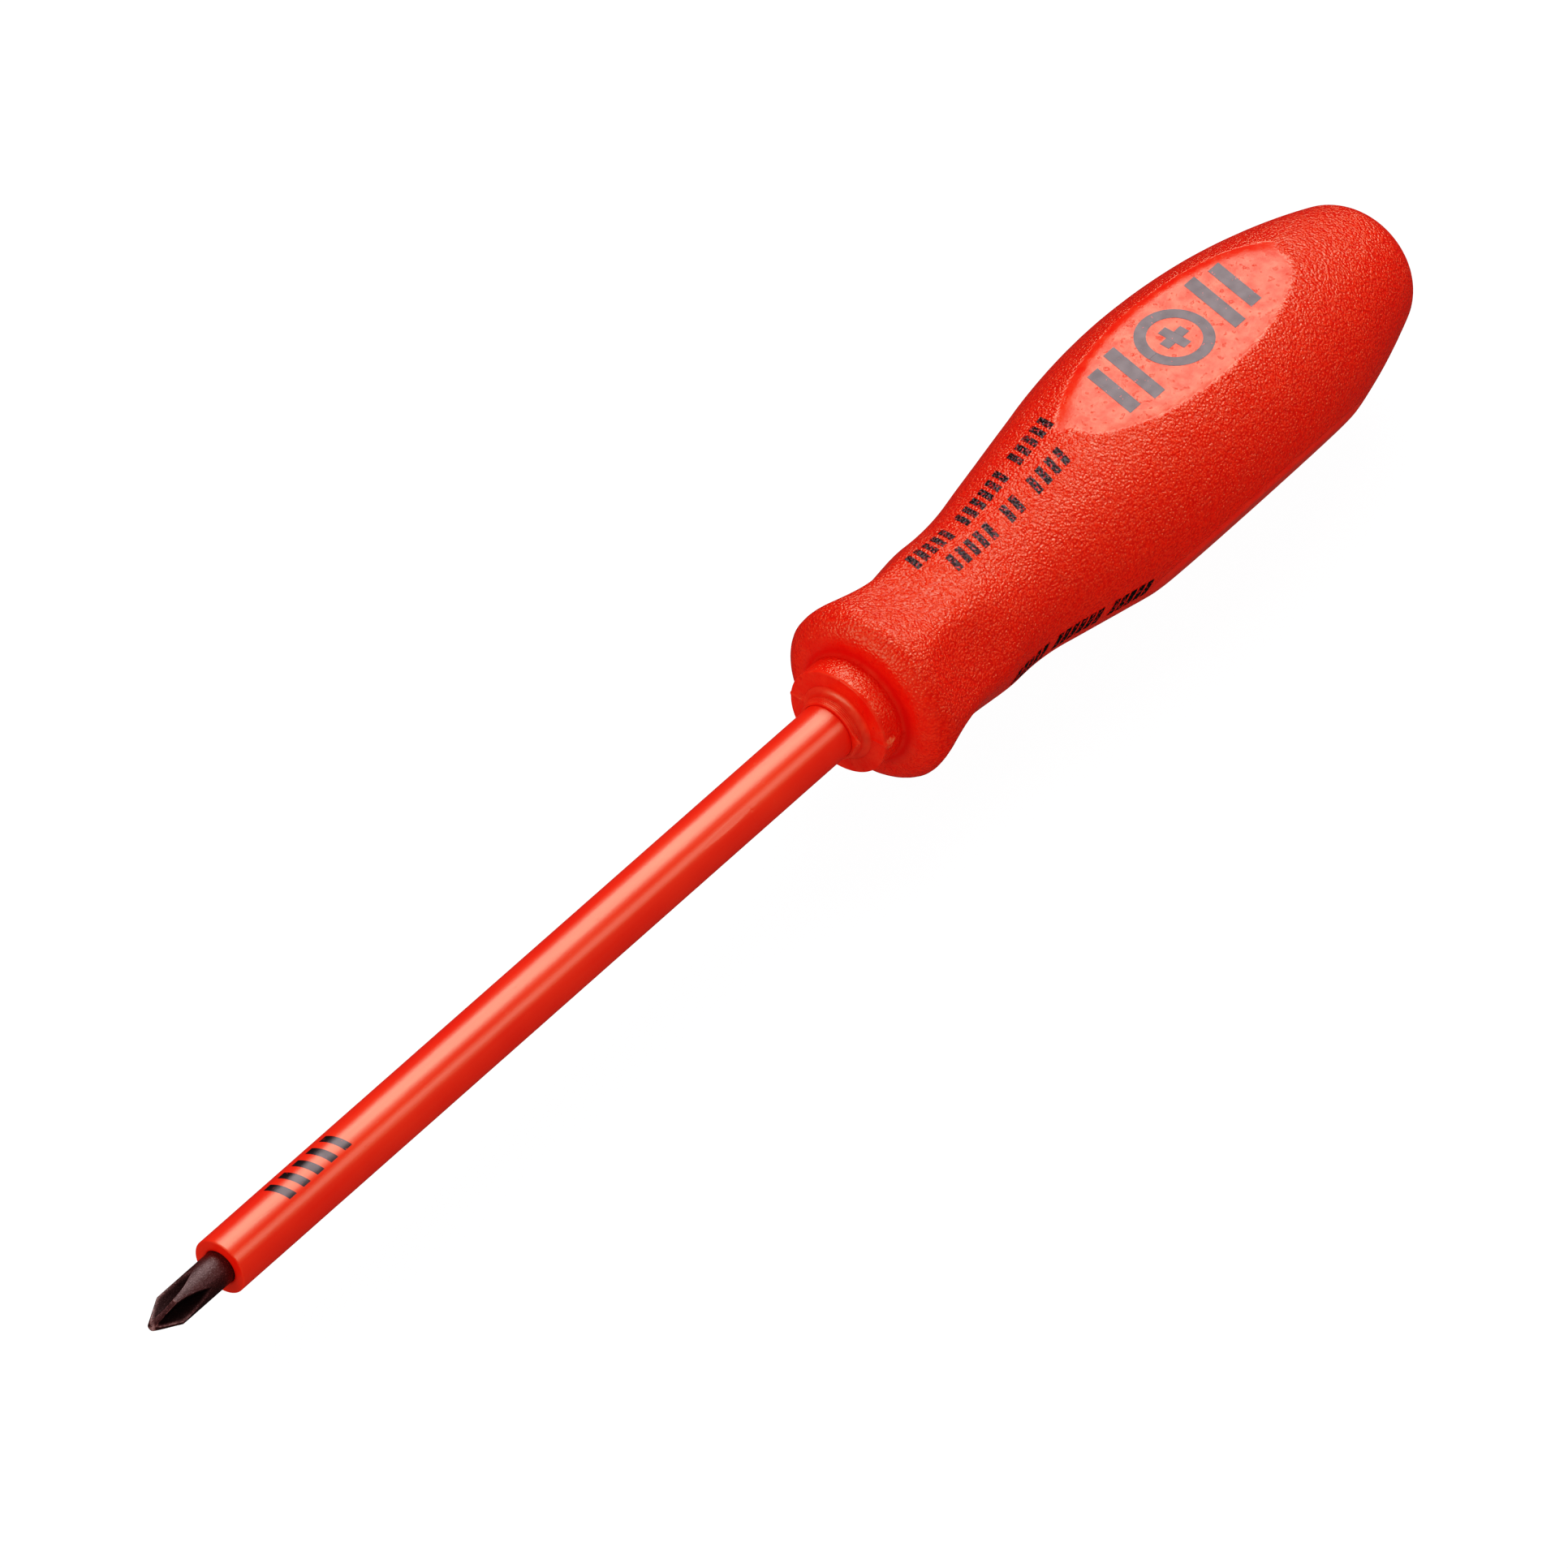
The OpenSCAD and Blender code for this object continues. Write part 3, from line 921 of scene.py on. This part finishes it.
def blade_material():
    """Dark oxidised steel with fine bright specks, darkened in its flutes as painted shade, and
    brightened on its edges by wear and a painted highlight.
    """
    oxide_dark, oxide_warm, flute_shade_colour = srgb(34, 8, 8), srgb(64, 24, 22), srgb(24, 6, 6)
    speck_bright, worn_steel_and_glint = srgb(128, 82, 80), srgb(190, 135, 130)
    s = Shader("blade_steel")
    flute = s.mark("flute")
    fine = s.noise(0.085, 3.0, 0.75)
    speck = s.scaled(fine, 0.53, 0.64)
    oxide = s.mix(s.noise(0.7, 3.0), oxide_dark, oxide_warm)
    oxide = s.mix(s.math("MULTIPLY", speck, 0.25), oxide, speck_bright)
    # Painted shade: the flutes are coloured darker than the oxide elsewhere.
    oxide = s.mix(s.math("MULTIPLY", flute, 0.8), oxide, flute_shade_colour)
    patchy_wear_and_glint = s.scaled(s.noise(0.3, 3.0), 0.4, 0.62, 0.0, 0.8)
    worn = s.math("MULTIPLY", s.mark("wear_and_glint"), patchy_wear_and_glint, True)
    # Wear and painted highlight: the edges, the shoulder and the end of the point are coloured pale
    # steel.
    colour = s.mix(worn, oxide, worn_steel_and_glint)
    rough = s.scaled(fine, 0.35, 0.65, 0.5, 0.28)
    normal = s.bump(fine, 0.028)
    bright_specks = s.scaled(speck, 0.0, 1.0, 0.45, 1.0)
    shine = s.math("MULTIPLY", bright_specks, s.scaled(flute, 0.0, 1.0, 1.0, 0.25))
    gloss = {**blade_gloss, "Specular IOR Level": shine}
    return s.finish(gloss, Base_Color=colour, Roughness=rough, Normal=normal)


def ink_material(name, grained):
    """Printed ink, which shows the plastic's grain where it lies on it, and has worn through."""
    s = Shader(name)
    if grained:
        covered = s.scaled(s.noise(0.2, 2.0), 0.36, 0.42)
        colour = s.mix(covered, red_deep, ink)
        normal = s.bump(grain_height(s), grain_depth)
        rough = 0.4
    else:
        worn = s.scaled(s.noise(0.35, 3.0, 0.7), 0.66, 0.74)
        colour = s.mix(worn, ink, red_body)
        normal = s.bump(s.noise(0.3, 3.0), 0.008, 0.6)
        rough = s.scaled(s.noise(0.9, 2.0), 0.3, 0.7, 0.3, 0.4)
    return s.finish(ink_gloss, Base_Color=colour, Roughness=rough, Normal=normal)


# ---- pieces -----------------------------------------------------------------------------

def place_piece(piece, material, replaced=None):
    """Gives a piece its material and its body, and hides the CAD node that it stands for."""
    piece.data.materials.append(material)
    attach(piece, "root")
    if replaced:
        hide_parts(replaced)


place_piece(build_blade(), blade_material(), "blade")
place_piece(build_sleeve(), sleeve_material(), "blade_sleeve")
place_piece(build_core(), core_material(), "handle_core")
place_piece(build_grip(), grip_material(), "handle_grip")

grained_ink = ink_material("print_black_grained", True)
smooth_ink = ink_material("print_black_smooth", False)
for name, front_x, back_x, turn_degrees, tall, pattern in grip_rows:
    row = row_on_grip(name, front_x, back_x, math.radians(turn_degrees), tall, pattern)
    place_piece(row, grained_ink)
place_piece(row_on_sleeve(), smooth_ink)
place_piece(panel_mark(), smooth_ink)


# ---- floor, lights and camera -----------------------------------------------------------

centre = (Vector(cad_box[0]) + Vector(cad_box[1])) / 2
light_distance = 0.9

# Direction from the object, widths in degrees across and along, and brightness of each softbox.
softboxes = {
    "softbox_main": ((-0.556, -0.303, 0.774), 40, 34, 4.3),
    "softbox_strip": ((-0.556, 0.61, 0.56), 17, 34, 1.9),
    "softbox_front": ((0.85, -0.3, 0.43), 40, 40, 1.7),
}


def floor():
    """A pale sheet just under the object, which neither lights it nor mirrors in it."""
    half, drop = 4.0, 0.0002
    z = cad_box[0][2] - drop
    mesh = bpy.data.meshes.new("floor")
    corners = [(-half, -half, z), (half, -half, z), (half, half, z), (-half, half, z)]
    mesh.from_pydata(corners, [], [(0, 1, 2, 3)])
    plane = bpy.data.objects.new("floor", mesh)
    bpy.context.scene.collection.objects.link(plane)
    s = Shader("floor_white")
    glow = {"Emission Color": (1, 1, 1, 1), "Emission Strength": 0.94}
    mesh.materials.append(s.finish(glow, Base_Color=(0.08, 0.08, 0.08, 1), Roughness=0.9))
    plane.visible_diffuse = False
    plane.visible_glossy = False


def softbox(name, direction, across, along, brightness):
    """An area light that faces the object, as wide as the two angles seen from it."""
    facing = Vector(direction).normalized()
    swing = math.atan2(facing.y, facing.z)
    side = Vector((0, math.cos(swing), -math.sin(swing)))
    up = facing.cross(side)
    data = bpy.data.lights.new(name, "AREA")
    data.shape = "RECTANGLE"
    data.size = 2 * light_distance * math.tan(math.radians(across) / 2)
    data.size_y = 2 * light_distance * math.tan(math.radians(along) / 2)
    data.energy = brightness * math.pi * data.size * data.size_y
    light = bpy.data.objects.new(name, data)
    turn = Matrix((side, up, facing)).transposed().to_4x4()
    light.matrix_world = Matrix.Translation(centre + facing * light_distance) @ turn
    light.visible_camera = False
    bpy.context.scene.collection.objects.link(light)


def surroundings():
    """White for the camera. Elsewhere a soft glow that lights the object but hardly mirrors in it."""
    brightest_side, dim, bright = (0.6, 0.6, -0.2), 0.32, 0.62
    seen_by_rays = (("Is Glossy Ray", 0.05), ("Is Camera Ray", 1.0))
    world = bpy.data.worlds.new("studio")
    world.use_nodes = True
    tree = world.node_tree
    glow = tree.nodes["Background"]
    direction = tree.nodes.new("ShaderNodeTexCoord").outputs["Generated"]
    dot = tree.nodes.new("ShaderNodeVectorMath")
    dot.operation = "DOT_PRODUCT"
    dot.inputs[1].default_value = Vector(brightest_side).normalized()
    tree.links.new(direction, dot.inputs[0])
    spread = tree.nodes.new("ShaderNodeMapRange")
    for key, value in (("From Min", -1), ("From Max", 1), ("To Min", dim), ("To Max", bright)):
        spread.inputs[key].default_value = value
    tree.links.new(dot.outputs["Value"], spread.inputs["Value"])
    rays = tree.nodes.new("ShaderNodeLightPath").outputs
    strength = spread.outputs["Result"]
    for kind, seen_strength in seen_by_rays:
        choice = tree.nodes.new("ShaderNodeMix")
        tree.links.new(rays[kind], choice.inputs["Factor"])
        tree.links.new(strength, choice.inputs["A"])
        choice.inputs["B"].default_value = seen_strength
        strength = choice.outputs["Result"]
    tree.links.new(strength, glow.inputs["Strength"])
    glow.inputs["Color"].default_value = (1, 1, 1, 1)
    world.cycles.sampling_method = "NONE"
    bpy.context.scene.world = world


def camera():
    """A long lens that looks down on the object from beside its tip, as in a product picture."""
    azimuth, elevation = math.radians(128.556), math.radians(44.692)
    distance, shift_left, shift_down = 1404.6, 3.771, 4.35
    level = math.cos(elevation)
    right = Vector((math.cos(azimuth), math.sin(azimuth), 0))
    back = Vector((level * math.sin(azimuth), -level * math.cos(azimuth), math.sin(elevation)))
    up = back.cross(right)
    data = bpy.data.cameras.new("camera")
    data.lens = 456.41
    data.sensor_width = 36
    data.clip_end = 20
    view = bpy.data.objects.new("camera", data)
    turn = Matrix((right, up, back)).transposed().to_4x4()
    place = (back * distance - right * shift_left - up * shift_down) * MM
    view.matrix_world = Matrix.Translation(place) @ turn
    bpy.context.scene.collection.objects.link(view)
    bpy.context.scene.camera = view


def contrast():
    """The mild curve of a product picture: deeper darks and brighter middle tones."""
    view = bpy.context.scene.view_settings
    view.view_transform = "Standard"
    view.use_curve_mapping = True
    all_channels = view.curve_mapping.curves[3]
    toe = ((0.012, 0.005), (0.03, 0.022), (0.06, 0.065))
    shoulder = ((0.3, 0.355), (0.6, 0.71), (0.85, 0.93))
    for dark, bright in toe + shoulder:
        all_channels.points.new(dark, bright)
    view.curve_mapping.update()


floor()
for name, settings in softboxes.items():
    softbox(name, *settings)
surroundings()
camera()
contrast()
